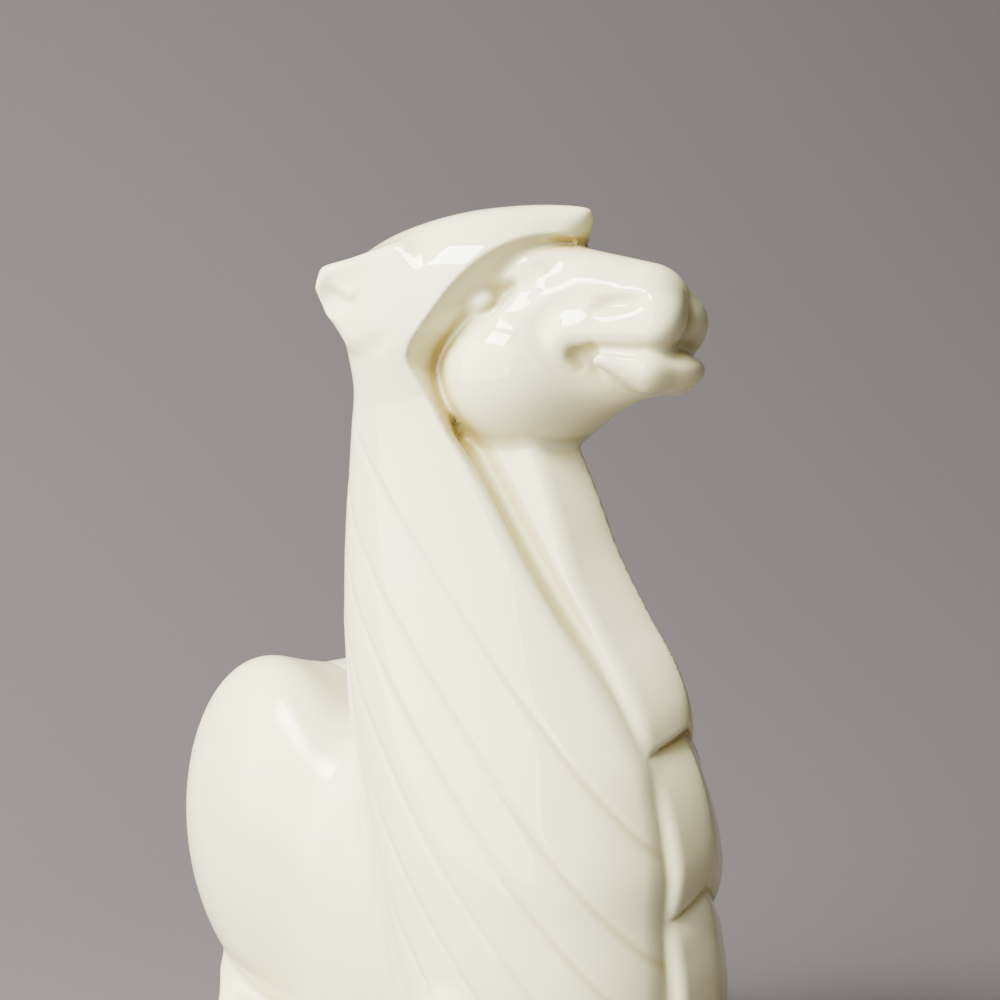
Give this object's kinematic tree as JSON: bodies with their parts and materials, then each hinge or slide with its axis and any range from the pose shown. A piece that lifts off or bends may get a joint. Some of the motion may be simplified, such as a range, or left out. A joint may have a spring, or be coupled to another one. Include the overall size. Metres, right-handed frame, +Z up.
{
  "type": "llama figurine",
  "caption": "Ivory glazed porcelain llama lying with folded legs, upright fluted neck, hooded head turned to its left; stands on a flat bisque sole.",
  "frame": {"origin": "centre of the figure's bounding box, on the surface that it stands on", "axes": "+Z up; the trunk points along -Y; the head and neck are turned 27 degrees from it towards +X, the animal's left"},
  "size_m": [0.056, 0.1268, 0.155],
  "materials": {
    "ivory_glaze": "clear gloss glaze over ivory porcelain",
    "sole_bisque": "unglazed, wiped foot"
  },
  "bodies": {
    "root": {"face_casting": "ivory_glaze", "hood_casting": "ivory_glaze", "ear_left": "ivory_glaze", "ear_right": "ivory_glaze", "neck_casting": "ivory_glaze", "throat_locks": "ivory_glaze", "trunk_casting": "ivory_glaze", "tail": "ivory_glaze", "hind_leg_left": "ivory_glaze", "hind_leg_right": "ivory_glaze", "foreleg_left": "ivory_glaze", "foreleg_right": "ivory_glaze", "sole_slab": "sole_bisque"}
  },
  "joints": []
}
